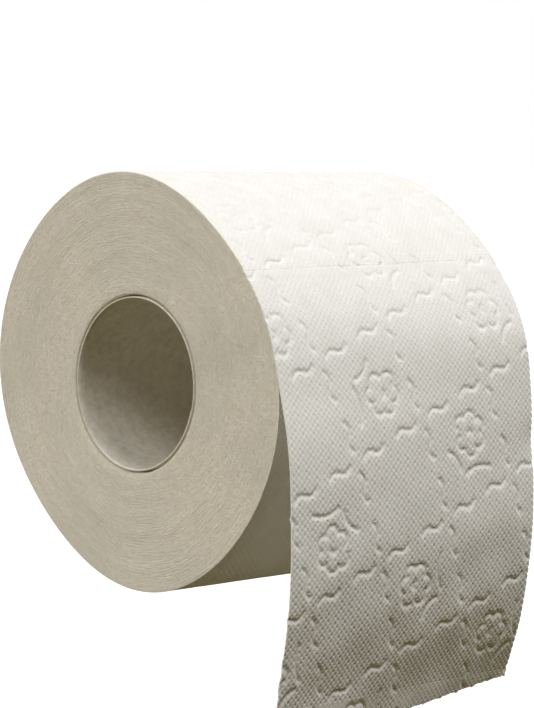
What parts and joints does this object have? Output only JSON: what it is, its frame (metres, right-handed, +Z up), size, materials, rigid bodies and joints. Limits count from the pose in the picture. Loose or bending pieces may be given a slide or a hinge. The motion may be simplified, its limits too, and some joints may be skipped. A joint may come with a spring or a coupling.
{
  "type": "toilet paper roll",
  "caption": "Roll of embossed paper wound on a thin cardboard tube, with one sheet hanging free at the front to a torn edge.",
  "frame": {"origin": "the middle of the core's bore, half way along the roll's width", "axes": "+X along the roll's axis from the left end to the right, +Z up as the roll hangs, and the free sheet hangs on the -Y side"},
  "size_m": [0.096, 0.1201, 0.1492],
  "materials": {
    "tissue_paper": "soft, matt, warm white, embossed",
    "core_board": "matt, pale grey-buff board"
  },
  "bodies": {
    "root": {"paper_roll": "tissue_paper", "core_tube": "core_board"}
  },
  "joints": []
}
